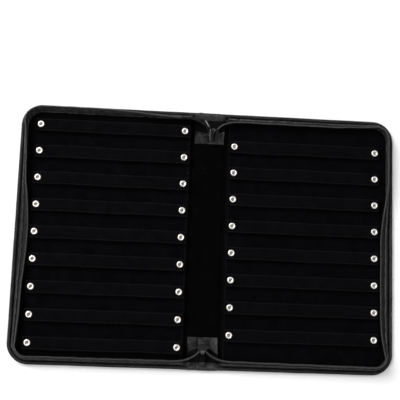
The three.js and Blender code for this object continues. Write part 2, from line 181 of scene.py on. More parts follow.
def spread(tree, factor, low, high):
    """A number that runs from low to high as noise runs over its usual range"""
    inputs = {"Value": factor, "From Min": 0.3, "From Max": 0.7, "To Min": low, "To Max": high}
    return node(tree, "ShaderNodeMapRange", inputs).outputs["Result"]


def emboss(tree, shader, reliefs):
    """Bumps a surface by rows of (height socket, depth in millimetres)"""
    normal = None
    for height, depth in reliefs:
        inputs = {"Height": height, "Distance": depth * mm}
        if normal:
            inputs["Normal"] = normal
        normal = node(tree, "ShaderNodeBump", inputs).outputs["Normal"]
    tree.links.new(normal, shader.inputs["Normal"])


def leather_finish(name, dark, light, matt, crease, gloss, streak=None, blotch=7):
    """Fine-grained leather: blotched black, pores of half a millimetre, soft creases. streak
    gives the length and width of the draws along a swept piece, in millimetres"""
    finish, tree, shader = new_finish(name, {"Specular IOR Level": gloss})
    place = object_place(tree)
    wear = speckle(tree, place, blotch, 5.0)
    if streak:
        length, width = streak
        inputs = {"Vector": surface_map(tree), "Scale": (1 / (length * mm), 1 / (width * mm), 1)}
        drawn = node(tree, "ShaderNodeMapping", inputs).outputs["Vector"]
        inputs = {"Vector": drawn, "Scale": 1.0, "Detail": 3.0}
        folds = node(tree, "ShaderNodeTexNoise", inputs).outputs["Fac"]
        contrast = 0.65
        wear = worked(tree, "MULTIPLY_ADD", worked(tree, "ADD", wear, folds), contrast, 0.5 - contrast)
    else:
        folds = speckle(tree, place, 3, 5.0)
    grain = speckle(tree, place, 1.3)
    grain_share = 0.35
    mottle = worked(tree, "MULTIPLY_ADD", grain, grain_share, wear)
    worn = spread(tree, worked(tree, "ADD", mottle, -grain_share / 2), 0.0, 1.0)
    tree.links.new(tones(tree, worn, dark, light), shader.inputs["Base Color"])
    polish = speckle(tree, place, 5)
    tree.links.new(spread(tree, polish, matt - 0.1, matt + 0.1), shader.inputs["Roughness"])
    pore_size = 0.6
    pore_depth = 0.05
    pores = node(tree, "ShaderNodeTexVoronoi", {"Vector": place, "Scale": 1 / (pore_size * mm)})
    emboss(tree, shader, ((pores.outputs["Distance"], pore_depth), (folds, crease)))
    return finish


def make_piece(name, points, faces, finish, spots=None):
    """A closed mesh from points in millimetres; spots holds a map place for each face corner"""
    mesh = bpy.data.meshes.new(name)
    mesh.from_pydata([tuple(c * mm for c in point) for point in points], [], faces)
    if spots:
        layer = mesh.uv_layers.new(name="surface")
        layer.data.foreach_set("uv", [c * mm for spot in spots for c in spot])
    mesh.materials.append(finish)
    shape = bmesh.new()
    shape.from_mesh(mesh)
    bmesh.ops.recalc_face_normals(shape, faces=shape.faces)
    shape.to_mesh(mesh)
    shape.free()
    mesh.polygons.foreach_set("use_smooth", [True] * len(mesh.polygons))
    mesh.set_sharp_from_angle(angle=math.radians(55))
    return put(bpy.data.objects.new(name, mesh))


def half_rows(columns, inset, divisions):
    """Rows of points over one half, each from its top edge to its bottom edge, drawn in by inset"""
    reach = [(x, half_length - inset) for x in columns]
    corner_steps = 14
    for i in range(1, corner_steps + 1):
        turn = math.pi / 2 * i / corner_steps
        x = corner_x + (corner - inset) * math.sin(turn)
        reach.append((x, corner_y + (corner - inset) * math.cos(turn)))
    return [[(x, y * (1 - 2 * j / divisions)) for j in range(divisions + 1)] for x, y in reach]


def soft_plate(name, side, columns, profile, divisions, finish, under, over):
    """A plate with the outline of one half. profile is its edge, as (inset, z) from the
    underside to the top; under and over give the two faces their own relief"""
    points = []
    faces = []
    loops = []
    width = divisions + 1
    for step, (inset, z) in enumerate(profile):
        rows = half_rows(columns, inset, divisions)
        start = len(points)
        if step in (0, len(profile) - 1):
            relief = over if step else under
            points += [(side * x, y, z + relief(side, x, y)) for row in rows for x, y in row]
            for i in range(len(rows) - 1):
                for j in range(divisions):
                    a = start + i * width + j
                    faces.append((a, a + 1, a + width + 1, a + width))
            first = [start + i * width for i in range(len(rows))]
            fore = [start + (len(rows) - 1) * width + j for j in range(1, divisions)]
            last = [start + i * width + divisions for i in reversed(range(len(rows)))]
            loops.append(first + fore + last)
        else:
            edge = [row[0] for row in rows] + rows[-1][1:-1] + [row[-1] for row in reversed(rows)]
            points += [(side * x, y, z) for x, y in edge]
            loops.append(list(range(start, len(points))))
    for low, high in zip(loops, loops[1:]):
        for k in range(len(low) - 1):
            faces.append((low[k], low[k + 1], high[k + 1], high[k]))
    top_start = loops[-1][0]
    end = list(range(width)) + [loop[-1] for loop in loops[1:-1]]
    end += [top_start + j for j in reversed(range(width))] + [loop[0] for loop in reversed(loops[1:-1])]
    faces.append(tuple(end))
    return make_piece(name, points, faces, finish)


def bend_at_fold(piece):
    """Bakes a piece's place into its mesh; the piece is not bent at the fold"""
    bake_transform(piece)


def steps_between(start, stop, count):
    return [start + (stop - start) * i / count for i in range(count + 1)]


def hump(x, centre, width):
    """1 at the centre, falling softly to 0 on both sides"""
    return math.exp(-(((x - centre) / width) ** 2))


def plain_face(side, x, y):
    return 0.0


def fold_channel(side, x, y):
    """The soft channel along the fold, on the underside of the skin"""
    return channel_depth * hump(x, fold_x, channel_width)


skin_leather = leather_finish("skin_leather", dark=0.004, light=0.009, matt=0.46, crease=0.25, gloss=0.13)
skin_edge = ((6.0, 0.0), (4.5, 0.03), (3.8, 0.25), (3.35, 0.72), (3.05, 0.75), (2.75, 0.45), (2.2, 0.12))
skin_edge += ((1.5, 0.0), (0.85, 0.1), (0.35, 0.4), (0.05, 0.85), (0.3, skin), (1.4, skin))
skin_columns = [0, 3, 6, *steps_between(8.5, 18.5, 20), *steps_between(21, corner_x, 30)]
skin_divisions = 56
for side, half in sides:
    name = f"{half}_leather"
    cover = soft_plate(
        name, side, skin_columns, skin_edge, skin_divisions, skin_leather, fold_channel, plain_face
    )
    bend_at_fold(cover)
    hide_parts(f"{half}_cover")
    if side < 0:
        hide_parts("spine_cover")

# Cover boards and spine board: pressed board dyed black, glued inside the skin. Only their
# cut edges can be seen, at the folds, when the case is half shut.
board_values = {"Roughness": 0.95, "Specular IOR Level": 0.1}
board_finish, board_tree, board_shader = new_finish("black_board", board_values)
board_flecks = speckle(board_tree, object_place(board_tree), 0.5, 4.0)
board_tree.links.new(tones(board_tree, board_flecks, 0.002, 0.006), board_shader.inputs["Base Color"])
emboss(board_tree, board_shader, ((board_flecks, 0.04),))
for name in ("left_board", "right_board", "spine_board"):
    board_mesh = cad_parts[name].data
    board_mesh.materials.clear()
    board_mesh.materials.append(board_finish)

# Piping: a leather-covered cord that runs round the three open edges of each half and in
# under the binding at the ends of the spine. At the corners the leather gathers into pleats.
piping_leather = leather_finish(
    "piping_leather", dark=0.003, light=0.024, matt=0.4, crease=0.5, gloss=0.16, streak=(5, 1.0)
)
piping_radius = 1.5
piping_centre_z = 3.0
piping_start = 8.5
edge_step = 0.9
zip_start = 25.5
corner_mark = 1.6
corner_span = 0.8


def edge_stations(side, inner_x, step):
    """Stations round the open edges of a half, from the top end of the spine to its bottom
    end: a point of the outline, the way inwards, and a mark that counts 0 to 8 on the way,
    with the corners at 2 and 6 and the middle of the fore edge at 4"""
    upper = []
    count = round((corner_x - inner_x) / step)
    for i in range(count):
        x = inner_x + (corner_x - inner_x) * i / count
        mark = corner_mark * max(0, (x - zip_start) / (corner_x - zip_start))
        upper.append((x, half_length, 0, -1, mark))
    count = round(corner * math.pi / 2 / step)
    for i in range(count):
        turn = math.pi / 2 * i / count
        c = math.sin(turn)
        s = math.cos(turn)
        mark = corner_mark + corner_span * i / count
        upper.append((corner_x + corner * c, corner_y + corner * s, -c, -s, mark))
    count = round(corner_y / step)
    for i in range(count):
        mark = corner_mark + corner_span + corner_mark * i / count
        upper.append((fore_x, corner_y * (1 - i / count), -1, 0, mark))
    lower = [(x, -y, inward_x, -inward_y, 8 - mark) for x, y, inward_x, inward_y, mark in reversed(upper)]
    whole = [*upper, (fore_x, 0, -1, 0, 4), *lower]
    return [(side * x, y, side * inward_x, inward_y, mark) for x, y, inward_x, inward_y, mark in whole]


def at_station(station, inset, z):
    x, y, inward_x, inward_y, _ = station
    return (x + inward_x * inset, y + inward_y * inset, z)


def cornerness(mark):
    """1 in the middle of a corner, falling to 0 along the straight edges"""
    return hump(mark, 2, 0.45) + hump(mark, 6, 0.45)


def wave(x, y, z, size):
    """Smooth noise between -1 and 1 with waves of about size millimetres"""
    return noise.noise(Vector((x, y, z)) / size)


def full_turn(count):
    """The angles of count equal steps round a circle"""
    return [2 * math.pi * k / count for k in range(count)]


def sweep(name, sections, finish, facing=None, faced=()):
    """A closed piece through a row of loops; its map runs along the row and round the loop.
    The strips of the loop that are numbered in faced get the second finish, facing"""
    count = len(sections[0])
    points = [point for loop in sections for point in loop]
    faces = []
    spots = []
    along = 0.0
    for i in range(len(sections) - 1):
        loop = [Vector(point) for point in sections[i]]
        step = (loop[0] - Vector(sections[i + 1][0])).length
        around = 0.0
        for j in range(count):
            k = (j + 1) % count
            edge = (loop[j] - loop[k]).length
            base = i * count
            faces.append((base + j, base + k, base + count + k, base + count + j))
            spots += [(along, around), (along, around + edge)]
            spots += [(along + step, around + edge), (along + step, around)]
            around += edge
        along += step
    for base in (0, len(points) - count):
        faces.append(tuple(range(base, base + count)))
        spots += [(along, 0.0)] * count
    piece = make_piece(name, points, faces, finish, spots)
    if facing:
        piece.data.materials.append(facing)
        for polygon in piece.data.polygons[: -2]:
            polygon.material_index = int(polygon.index % count in faced)
    return piece


for side, half in sides:
    bead_loops = []
    for number, station in enumerate(edge_stations(side, piping_start, edge_step)):
        x, y, _, _, mark = station
        pleat = 0.2 * cornerness(mark) * wave(number * 1.3, 0, 0, 1.9) + 0.06 * wave(x, y, 0, 9)
        radius = piping_radius + pleat
        middle = piping_radius + 0.12 * wave(x, y, 4, 25)
        loop = []
        for a in full_turn(16):
            inset = middle - radius * math.cos(a)
            loop.append(at_station(station, inset, piping_centre_z + radius * math.sin(a)))
        bead_loops.append(loop)
    bead = sweep(f"{half}_piping_bead", bead_loops, piping_leather)
    bend_at_fold(bead)
    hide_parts(f"{half}_piping")

# Spine-end bindings: at each end of the spine a turned strip of the skin leather is folded
# over the piping and glued down in overlapping laps, which run out along the piping past
# the folds.
binding_leather = leather_finish(
    "binding_leather", dark=0.004, light=0.045, matt=0.45, crease=0.45, gloss=0.16, streak=(5, 0.9), blotch=3
)
binding_line = [(110.1, 0.6), (110.25, 2.2), (109.7, 3.7), (108.6, 4.6), (107.4, 4.5), (106.2, 3.8)]
binding_line += [(105.0, 3.1), (103.8, 2.3)]
binding_reach = 19.0
binding_laps = {
    "top": (
        (-9.4, -6.0, 0.4),
        (-6.6, binding_reach, 0.1),
        (-binding_reach, -8.6, 0.05),
    ),
    "bottom": (
        (-10.6, -3.6, 0.05),
        (-4.4, 8.4, 0.35),
        (7.8, binding_reach, 0.1),
        (-binding_reach, -10.0, 0.25),
    ),
}
lap_thick = 0.55
lap_step = 0.7
lap_edge = 0.5
lap_fall = 0.35
narrow_start = 11
narrow_run = 3.5


def smooth_line(points, count):
    """A smooth curve through points, with count steps between each two"""
    rows = [Vector(point) for point in points]
    rows = [rows[0] * 2 - rows[1], *rows, rows[-1] * 2 - rows[-2]]
    line = []
    for a, b, c, d in zip(rows, rows[1:], rows[2:], rows[3:]):
        for i in range(count):
            t = i / count
            bow = 2 * a - 5 * b + 4 * c - d
            twist = 3 * b - a - 3 * c + d
            line.append(0.5 * (2 * b + (c - a) * t + bow * t**2 + twist * t**3))
    return [*line, rows[-2]]


binding_curve = smooth_line(binding_line, 4)
binding_heart = Vector((107.0, 2.4))
for end_name, end in (("top", 1), ("bottom", -1)):
    for number, (x0, x1, lift) in enumerate(binding_laps[end_name]):
        lap_loops = []
        for x in steps_between(x0, x1, max(4, round((x1 - x0) / lap_step))):
            edge_fall = lap_fall * (hump(x, x0, lap_edge) + hump(x, x1, lap_edge))
            narrow = min(1, max(0, (abs(x) - narrow_start) / narrow_run))
            outer = []
            inner = []
            for spot in binding_curve:
                away = (spot - binding_heart).normalized()
                rise = lift - edge_fall * 0.5 + 0.22 * wave(x, spot.x * end, spot.y, 3.2)
                for side_points, moved in ((outer, rise), (inner, -lap_thick)):
                    y, z = spot + away * moved
                    y = half_length - (half_length - y) * (1 - 0.45 * narrow)
                    side_points.append((x, end * y, max(z - 0.25 * narrow, 0.1 if moved == rise else 0.05)))
            lap_loops.append(outer + inner[::-1])
        lap = sweep(f"spine_binding_{end_name}_{number + 1}", lap_loops, binding_leather)
        if max(abs(x0), abs(x1)) > fold_x:
            bend_at_fold(lap)
        else:
            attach(lap, "spine")
        if number == 0:
            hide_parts(f"spine_piping_{end_name}")

# Leather walls: a strip of leather sewn upright round each half, its foot turned out to the
# piping, its top edge rolled into a hem and its lining turned in to the velvet. It leans in or
# out, by the degrees given at the marks of the edge, as the soft case has sagged.
wall_leather = leather_finish(
    "wall_leather", dark=0.004, light=0.028, matt=0.4, crease=0.6, gloss=0.14, streak=(4.5, 0.9)
)
wall_lining = leather_finish(
    "wall_lining", dark=0.004, light=0.09, matt=0.6, crease=0.9, gloss=0.1, streak=(3.2, 2.2), blotch=5
)
rim_height = 12.6
rim_foot = 1.5
wall_inset = 4.6
wall_top = 7.2
wall_start = fold_x + 2.2
wall_heights = (0.9, 1.6, 2.4, 3.2, 4.0, 4.8, 5.3, 5.7, 6.1, 6.5, 6.9, 7.15)
outer_foot = ((2.7, 1.65), (3.2, 1.95), (3.75, 2.05))
inner_foot = ((6.3, 2.7), (6.3, 1.6), (3.5, 1.5))
outer_face = 0.6
inner_face = 0.5
hem_seam = 5.6
leans = {
    "left": (6, -13, -12, 8, 42, 22, 6, 7, 8),
    "right": (17, 18, 2, 3, 42, 42, 4, 9, 12),
}


def lean_at(half, mark):
    """How far the rim leans in at a mark, in radians, eased from one landmark to the next"""
    row = leans[half]
    i = min(int(mark), len(row) - 2)
    t = mark - i
    return math.radians(row[i] + (row[i + 1] - row[i]) * t * t * (3 - 2 * t))


def rim_point(half, station, s, offset):
    """A point of the bent rim: s up its middle line, offset towards the inside of the case"""
    lean = lean_at(half, station[4])
    bend = lean if abs(lean) > 1e-4 else 1e-4
    angle = 2 * bend * s / rim_height
    radius = rim_height / (2 * bend)
    inset = wall_inset + radius * (1 - math.cos(angle)) + offset * math.cos(angle)
    return at_station(station, inset, rim_foot + (radius - offset) * math.sin(angle))


def ripple(station, s):
    """The soft waves of the wall and of the zip tape behind it, more at the corners"""
    x, y, _, _, mark = station
    free = min(1, s / 4)
    calm = 1 - 0.55 * min(1, max(0, (s - 5) / 3))
    gathers = 1.1 * cornerness(mark) * wave(x, y, s * 0.3, 3.0) * calm
    return free * (0.3 * wave(x, y, s * 1.5, 9) + gathers)


def hem_relief(s):
    """The rolled hem near the top of the wall, and the groove that its seam draws in"""
    return 0.24 * math.exp(-(((s - 6.5) / 0.55) ** 4)) - 0.1 * hump(s, hem_seam, 0.25)


for side, half in sides:
    wall_loops = []
    wall_stations = edge_stations(side, wall_start, edge_step)
    for station in wall_stations:
        outer = [at_station(station, inset, z) for inset, z in outer_foot]
        inner = []
        for s in wall_heights:
            moved = ripple(station, s)
            outer.append(rim_point(half, station, s, moved - outer_face - hem_relief(s)))
            inner.append(rim_point(half, station, s, moved + inner_face))
        moved = ripple(station, wall_top)
        crown = [rim_point(half, station, wall_top + 0.12, moved + offset) for offset in (-0.45, 0.2)]
        foot = [at_station(station, inset, z) for inset, z in inner_foot]
        wall_loops.append(outer + crown + inner[::-1] + foot)
    lining_strips = range(len(outer), len(outer + crown + inner))
    wall = sweep(f"{half}_leather_wall", wall_loops, wall_leather, wall_lining, lining_strips)
    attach(wall, f"{half}_half")
    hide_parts(f"{half}_wall")
    steps = zip(wall_stations, wall_stations[1:])
    wall_run = sum(math.dist(here[:2], ahead[:2]) for here, ahead in steps)

# Wall stitching: black waxed thread, one row through the turned foot beside the piping and
# one under the hem that holds the zip tape.
wall_stitch = {"Length": 1.5, "Width": 0.5, "Height": 0.34}
wall_pitch = 2.1
foot_seam = (3.75, 2.1)
seam_start = fold_x + 3
seam_step = 2.0
hem_face = 0.52
hem_clear = 1.5


def thread_finish(name, values, low, high, relief, matt=None):
    """Twisted thread, shaded along its twist; matt is the range of its roughness when waxed"""
    finish, tree, shader = new_finish(name, values)
    twist = speckle(tree, object_place(tree), 0.3, 1.0)
    tree.links.new(tones(tree, twist, low, high), shader.inputs["Base Color"])
    if matt:
        tree.links.new(spread(tree, twist, *matt), shader.inputs["Roughness"])
    emboss(tree, shader, ((twist, relief),))
    return finish


def made_plain(thing, tree, values):
    """Runs a tree on an object and keeps what it makes as the object's own mesh. values holds
    a pair of socket and value for each input of the tree"""
    maker = thing.modifiers.new("maker", "NODES")
    maker.node_group = tree
    for socket, value in values:
        maker[socket.identifier] = value
    made = thing.evaluated_get(bpy.context.evaluated_depsgraph_get())
    plain = bpy.data.meshes.new_from_object(made)
    thing.modifiers.remove(maker)
    thing.data = plain
    return thing


def row_on_paths(name, paths, pitch, sizes, shape, finish):
    """Repeats one small shape along paths with Geometry Nodes. A path is a row of (point,
    facing); the shape's X lies along the path and its Z along the facing. shape adds the
    shape's own nodes to the tree, from the tree's named sizes in millimetres"""
    points = []
    facings = []
    edges = []
    for path in paths:
        edges += [(len(points) + i, len(points) + i + 1) for i in range(len(path) - 1)]
        points += [Vector(point) * mm for point, _ in path]
        facings += [c for _, facing in path for c in facing]
    mesh = bpy.data.meshes.new(name)
    mesh.from_pydata(points, edges, [])
    mesh.attributes.new("facing", "FLOAT_VECTOR", "POINT").data.foreach_set("vector", facings)
    row = put(bpy.data.objects.new(name, mesh))

    tree = bpy.data.node_groups.new(name, "GeometryNodeTree")
    sockets = tree.interface
    sockets.new_socket(name="Row", in_out="OUTPUT", socket_type="NodeSocketGeometry")
    sockets.new_socket(name="Path", in_out="INPUT", socket_type="NodeSocketGeometry")
    values = {"Pitch": pitch, **sizes}
    named = {}
    for label in values:
        named[label] = sockets.new_socket(name=label, in_out="INPUT", socket_type="NodeSocketFloat")
    named["Finish"] = sockets.new_socket(name="Finish", in_out="INPUT", socket_type="NodeSocketMaterial")
    given = tree.nodes.new("NodeGroupInput").outputs
    curve = node(tree, "GeometryNodeMeshToCurve", {"Mesh": given["Path"]}).outputs["Curve"]
    inputs = {"Curve": curve, "Length": given["Pitch"]}
    spaced = node(tree, "GeometryNodeResampleCurve", inputs, mode="LENGTH").outputs["Curve"]
    tangent = node(tree, "GeometryNodeInputTangent").outputs["Tangent"]
    facing = node(tree, "GeometryNodeInputNamedAttribute", {"Name": "facing"}, data_type="FLOAT_VECTOR")
    along = node(tree, "FunctionNodeAlignRotationToVector", {"Vector": tangent}, axis="X")
    inputs = {"Rotation": along.outputs["Rotation"], "Vector": facing.outputs["Attribute"]}
    turned = node(tree, "FunctionNodeAlignRotationToVector", inputs, axis="Z", pivot_axis="X")
    inputs = {"Points": spaced, "Instance": shape(tree, given), "Rotation": turned.outputs["Rotation"]}
    placed = node(tree, "GeometryNodeInstanceOnPoints", inputs).outputs["Instances"]
    whole = node(tree, "GeometryNodeRealizeInstances", {"Geometry": placed}).outputs["Geometry"]
    smooth = node(tree, "GeometryNodeSetShadeSmooth", {"Geometry": whole}).outputs["Geometry"]
    finished = node(tree, "GeometryNodeSetMaterial", {"Geometry": smooth, "Material": given["Finish"]})
    tree.links.new(finished.outputs["Geometry"], tree.nodes.new("NodeGroupOutput").inputs["Row"])

    given_values = [(named[label], value * mm) for label, value in values.items()]
    return made_plain(row, tree, [*given_values, (named["Finish"], finish)])


def stitch_shape(tree, given):
    """One stitch: a short length of thread that dips into the leather at both ends"""
    lengths = {"X": given["Length"], "Y": given["Width"], "Z": given["Height"]}
    size = node(tree, "ShaderNodeCombineXYZ", lengths)
    ball = node(tree, "GeometryNodeMeshUVSphere", {"Segments": 6, "Rings": 5, "Radius": 0.5}).outputs["Mesh"]
    inputs = {"Geometry": ball, "Scale": size.outputs["Vector"]}
    return node(tree, "GeometryNodeTransform", inputs).outputs["Geometry"]


wall_thread = thread_finish(
    "waxed_thread", {"Specular IOR Level": 0.35}, low=0.006, high=0.016, relief=0.04, matt=(0.5, 0.7)
)
for side, half in sides:
    foot_row = []
    hem_row = []
    for station in edge_stations(side, seam_start, seam_step):
        foot_row.append((at_station(station, *foot_seam), (0, 0, 1)))
        moved = ripple(station, hem_seam)
        low = Vector(rim_point(half, station, hem_seam, moved - hem_face))
        out = Vector(rim_point(half, station, hem_seam, moved - hem_clear))
        hem_row.append((low, (out - low).normalized()))
    rows = (foot_row, hem_row)
    seam = row_on_paths(f"{half}_wall_stitches", rows, wall_pitch, wall_stitch, stitch_shape, wall_thread)
    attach(seam, f"{half}_half")

# Zip tapes: ribbed woven nylon tape, sewn behind the hem of each wall and standing up to
# carry the coil along its free edge.
tape_values = {"Roughness": 0.8, "Specular IOR Level": 0.12}
tape_finish, tape_tree, tape_shader = new_finish("zip_tape_weave", tape_values)
tape_map = surface_map(tape_tree)
tape_wear = speckle(tape_tree, tape_map, 6, 4.0)
tape_tree.links.new(tones(tape_tree, tape_wear, 0.005, 0.02), tape_shader.inputs["Base Color"])
tape_ribs = []
for way, size, depth in (("X", 3.2, 0.05), ("Y", 3.6, 0.07)):
    inputs = {"Vector": tape_map, "Scale": 1 / (size * mm)}
    ribs = node(tape_tree, "ShaderNodeTexWave", inputs, bands_direction=way).outputs["Fac"]
    tape_ribs.append((ribs, depth))
emboss(tape_tree, tape_shader, tape_ribs)
tape_offset = 1.2
tape_half = 0.26
tape_foot = 5.2
tape_heights = (tape_foot, 6.2, 7.0, 7.6, 7.9, 8.2, 8.5, 8.8, 9.1, 9.4, 9.7, 10.2, 10.8, 11.3)
calm_height = 8
zip_step = 1.2
coil_s = 11.6


def tape_ridge(s):
    """The raised cords woven into the tape beside the coil"""
    return 0.14 * hump(s, 9.4, 0.35) + 0.12 * hump(s, 8.2, 0.35)


for side, half in sides:
    tape_loops = []
    for station in edge_stations(side, zip_start, zip_step):
        outer = []
        inner = []
        for s in tape_heights:
            moved = ripple(station, min(s, calm_height)) + tape_offset
            outer.append(rim_point(half, station, s, moved - tape_half - tape_ridge(s)))
            inner.append(rim_point(half, station, s, moved + tape_half + tape_ridge(s)))
        tape_loops.append(outer + inner[::-1])
    back_strips = range(len(outer), len(outer + inner) - 1)
    tape = sweep(f"{half}_woven_tape", tape_loops, tape_finish, wall_lining, back_strips)
    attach(tape, f"{half}_half")
    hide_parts(f"{half}_zip_tape")

# Zip coils: black nylon wire wound in loops round a core cord and sewn to the tape's edge.
coil_loop = {"Loop": 0.72, "Wire": 0.3}
coil_pitch = 1.35
core_radius = 0.5


def nylon_finish(name, low, high, gloss):
    """Drawn nylon, a little clouded where the slider has run over it"""
    finish, tree, shader = new_finish(name, {"Specular IOR Level": gloss})
    wear = speckle(tree, object_place(tree), 2, 3.0)
    tree.links.new(tones(tree, wear, low, high), shader.inputs["Base Color"])
    tree.links.new(spread(tree, wear, 0.26, 0.4), shader.inputs["Roughness"])
    emboss(tree, shader, ((wear, 0.03),))
    return finish


coil_finish = nylon_finish("coil_nylon", low=0.014, high=0.04, gloss=0.5)


def coil_shape(tree, given):
    """One loop of the wire, standing across the path"""
    inputs = {"Resolution": 9, "Radius": given["Loop"]}
    ring = node(tree, "GeometryNodeCurvePrimitiveCircle", inputs).outputs["Curve"]
    inputs = {"Resolution": 4, "Radius": given["Wire"]}
    wire = node(tree, "GeometryNodeCurvePrimitiveCircle", inputs).outputs["Curve"]
    loop = node(tree, "GeometryNodeCurveToMesh", {"Curve": ring, "Profile Curve": wire}).outputs["Mesh"]
    tilt = (0, math.radians(78), 0)
    return node(tree, "GeometryNodeTransform", {"Geometry": loop, "Rotation": tilt}).outputs["Geometry"]


def way_along(points, i):
    """The way that a row of points runs at its point i"""
    return (points[min(i + 1, len(points) - 1)] - points[max(i - 1, 0)]).normalized()


def across_and_up(points, i):
    """The level way across a row of points at its point i, and the way up from there"""
    ahead = way_along(points, i)
    across = ahead.cross(Vector((0, 0, 1))).normalized()
    return across, across.cross(ahead)


def core_loops(points):
    """Eight-sided sections of the core cord along points"""
    loops = []
    for i, point in enumerate(points):
        across, up = across_and_up(points, i)
        ring = [across * math.cos(a) + up * math.sin(a) for a in full_turn(8)]
        loops.append([tuple(point + core_radius * way) for way in ring])
    return loops


for side, half in sides:
    middle = []
    for station in edge_stations(side, zip_start, zip_step):
        moved = tape_offset + ripple(station, calm_height)
        place = Vector(rim_point(half, station, coil_s, moved))
        above = Vector(rim_point(half, station, coil_s + 1, moved))
        middle.append((place, (above - place).normalized()))
    core = sweep(f"{half}_coil_core", core_loops([place for place, _ in middle]), coil_finish)
    loops = row_on_paths(f"{half}_coil_loops", (middle,), coil_pitch, coil_loop, coil_shape, coil_finish)
    for piece in (core, loops):
        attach(piece, f"{half}_half")
    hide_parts(f"{half}_zip_coil")

# Velvet panels: short-pile black velvet drawn over the boards inside each half, its edges
# turned under, with a row of stitches along the spine side.
def velvet_finish(name, low, high, sheen):
    """Black pile that drinks light: matt, blotched by the nap, with a faint sheen and lint"""
    values = {"Roughness": 1.0, "Specular IOR Level": 0.0, "Sheen Weight": sheen, "Sheen Roughness": 0.45}
    finish, tree, shader = new_finish(name, values)
    place = object_place(tree)
    nap = speckle(tree, place, 9, 6.0)
    lint = node(tree, "ShaderNodeTexVoronoi", {"Vector": place, "Scale": 1 / (11 * mm)}).outputs["Distance"]
    speck = worked(tree, "LESS_THAN", lint, 0.028)
    pile = tones(tree, nap, low, high)
    dusted = node(tree, "ShaderNodeMix", {6: pile, 7: (0.02, 0.02, 0.022, 1)}, data_type="RGBA")
    tree.links.new(speck, dusted.inputs[0])
    tree.links.new(dusted.outputs[2], shader.inputs["Base Color"])
    emboss(tree, shader, ((speckle(tree, place, 0.35, 3.0), 0.12), (nap, 0.2)))
    return finish


panel_velvet = velvet_finish("panel_velvet", (0.0009, 0.0009, 0.0012), (0.0032, 0.0032, 0.0038), 0.006)
fine_thread = thread_finish(
    "strap_thread", {"Roughness": 0.7, "Specular IOR Level": 0.15}, low=0.004, high=0.018, relief=0.03
)
panel_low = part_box("right_board")[1].z / mm
panel_top = panel_low + 1.4
panel_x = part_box("right_lining")[0].x / mm
panel_inset = half_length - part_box("right_lining")[1].y / mm
panel_columns = [panel_x + a for a in (0, 0.25, 0.6, 1, 1.6)] + steps_between(19, corner_x, 42)
panel_edge = [(panel_inset + 0.3, panel_low), (panel_inset, panel_low + 0.35), (panel_inset, panel_top - 0.6)]
panel_edge += [(panel_inset + 0.2, panel_top - 0.2), (panel_inset + 0.7, panel_top)]
fine_stitch = {"Length": 1.6, "Width": 0.4, "Height": 0.3}
fine_pitch = 2.5
panel_seam_x = 17.6
panel_seam_end = 101
panel_divisions = 72


def velvet_face(side, x, y):
    """The panel's face: turned down at its spine edge, softly waved, drawn in along its seam"""
    turned_edge = -0.55 * max(0, 1 - (x - panel_x) / 0.9) ** 2
    return turned_edge + 0.1 * wave(x, y, side, 16) - 0.12 * hump(x, panel_seam_x, 0.5)


for side, half in sides:
    name = f"{half}_velvet_panel"
    panel = soft_plate(
        name, side, panel_columns, panel_edge, panel_divisions, panel_velvet, plain_face, velvet_face
    )
    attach(panel, f"{half}_half")
    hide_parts(f"{half}_lining")
    line = []
    for y in steps_between(panel_seam_end, -panel_seam_end, 40):
        line.append(((side * panel_seam_x, y, panel_top - 0.02), (0, 0, 1)))
    seam = row_on_paths(f"{half}_panel_stitches", (line,), fine_pitch, fine_stitch, stitch_shape, fine_thread)
    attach(seam, f"{half}_half")

# Straps: flat double-layer velvet straps, nine on the left and eight on the right, stitched
# along both long edges and pressed down at each end by a snap. They wave a little in between.
strap_velvet = velvet_finish("strap_velvet", (0.0012, 0.0012, 0.0015), (0.0041, 0.0041, 0.0047), 0.007)
socket_depth = 1.4
strap_thick = 2.0
spine_end = 5.2
fore_end = 4.6
strap_corner = 2.0
seam_across = 0.815
seam_up = 0.88
seam_from_end = 1.4
end_rounding = 0.7
strap_section = [(-1, 0.45), (-0.985, 0.75), (-0.945, 0.93), (-0.88, 0.98), (-seam_across, 0.86)]
strap_section += [(-0.75, 0.98), (-0.45, 1.02)]
strap_section += [(0, 1.03)] + [(-a, b) for a, b in reversed(strap_section)]
strap_section += [(0.98, 0.16), (0.92, 0.03), (0.5, 0), (-0.5, 0), (-0.92, 0.03), (-0.98, 0.16)]
Strap = namedtuple("Strap", "name side half row ends studs middle_y half_width bottom")
straps = []
for side, half in sides:
    count = sum(name.startswith(f"{half}_strap_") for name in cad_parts)
    for row in range(1, count + 1):
        name = f"{half}_strap_{row}"
        low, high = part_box(name)
        ends = sorted((low.x / mm, high.x / mm), key=abs)
        studs = (ends[0] + side * spine_end, ends[1] - side * fore_end)
        middle_y = (low.y + high.y) / 2 / mm
        half_width = (high.y - low.y) / 2 / mm
        bottom = low.z / mm + socket_depth
        straps.append(Strap(name, side, half, row, ends, studs, middle_y, half_width, bottom))


def strap_wave(strap, x):
    """Sideways and upward drift of a strap at x, none at its two snaps"""
    free = 1 - max(hump(x, stud, 11) for stud in strap.studs)
    seed = strap.row * 13.7 + (50 if strap.half == "left" else 0)
    return free * 0.55 * wave(x, seed, 0, 34), free * (0.3 + 0.5 * wave(x, seed, 20, 40))


